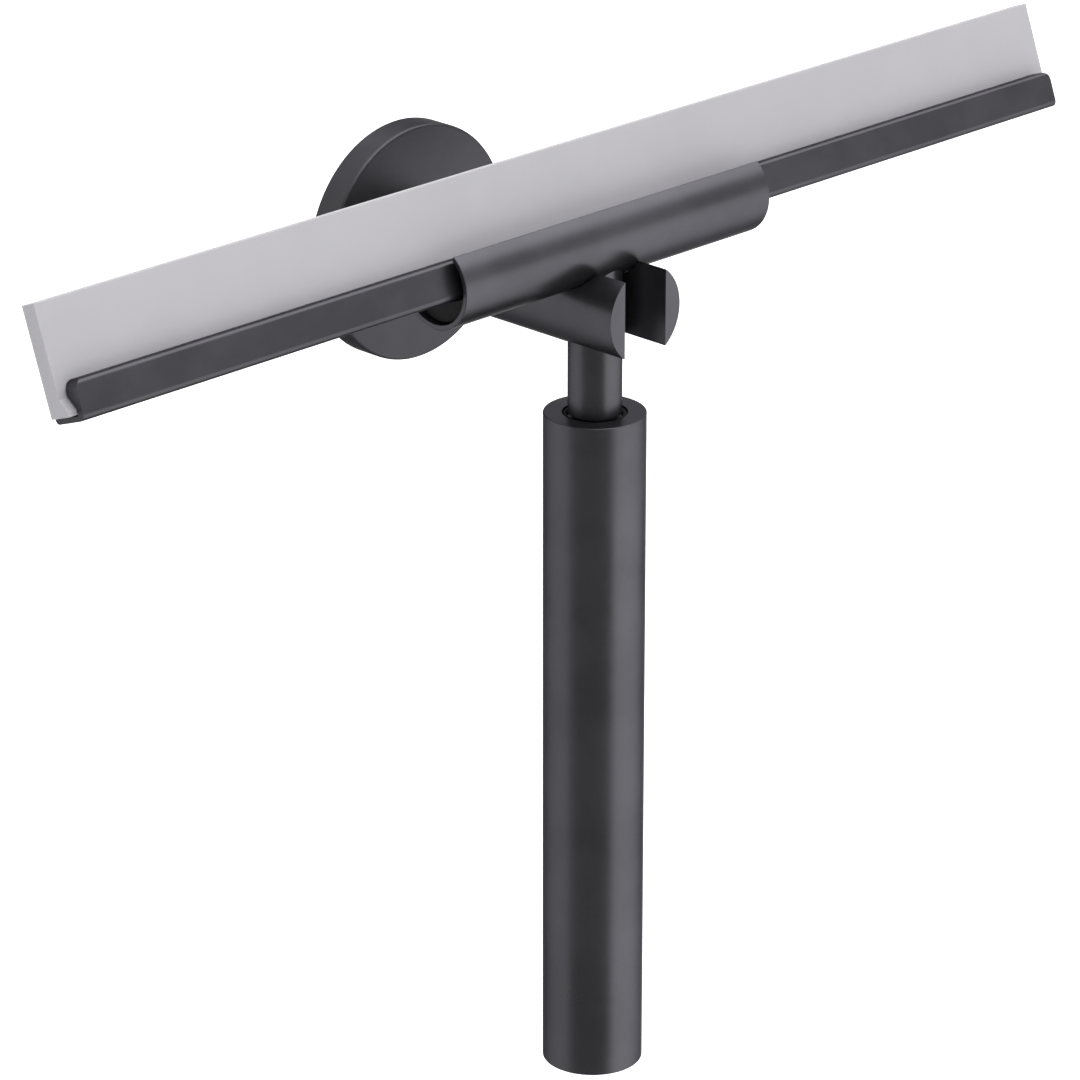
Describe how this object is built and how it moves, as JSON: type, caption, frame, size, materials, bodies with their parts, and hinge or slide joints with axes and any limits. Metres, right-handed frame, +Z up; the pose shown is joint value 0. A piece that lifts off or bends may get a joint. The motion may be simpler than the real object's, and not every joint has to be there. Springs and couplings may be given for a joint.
{
  "type": "window cleaning squeegee",
  "caption": "Window squeegee with a soft wiping strip, round bar handle and a forked wall holder it lifts out of.",
  "frame": {"origin": "centre of the holder's wall face, on the wall plane", "axes": "+Y into the wall, -Y out towards the user, +Z up, +X along the blade"},
  "size_m": [0.293, 0.0743, 0.2101],
  "materials": {
    "anthracite_metal": "satin anthracite powder coat",
    "channel_metal": "satin anthracite anodised",
    "silicone": "soft matt light grey silicone",
    "fixing_steel": "stainless steel",
    "black_rubber": "matt black",
    "black_plastic": "fine matt texture"
  },
  "bodies": {
    "wall_holder": {"wall_plate": "fixing_steel", "cover_ring": "black_rubber", "rosette_cover": "anthracite_metal", "fork_arm": "anthracite_metal", "holder_grub_screw": "fixing_steel"},
    "squeegee": {"neck_rod": "anthracite_metal", "neck_ring": "black_rubber", "handle_tube": "anthracite_metal", "handle_bolt": "fixing_steel", "bolt_washer": "fixing_steel", "bolt_spring_washer": "fixing_steel", "handle_plug": "black_plastic", "handle_end_cover": "black_plastic", "head_sleeve": "anthracite_metal", "sleeve_insert": "black_plastic", "head_screw": "fixing_steel", "channel_grub_left": "fixing_steel", "channel_grub_right": "fixing_steel", "blade_channel": "channel_metal"},
    "blade": {"wiper_blade": "silicone"}
  },
  "joints": [
    {"name": "squeegee_lift", "type": "slide", "parent": "wall_holder", "child": "squeegee", "axis": [0, 0, 1], "range_m": [0, 0.014]},
    {"name": "blade_slide", "type": "slide", "parent": "squeegee", "child": "blade", "axis": [1, 0, 0], "range_m": [-0.287, 0.287]}
  ]
}
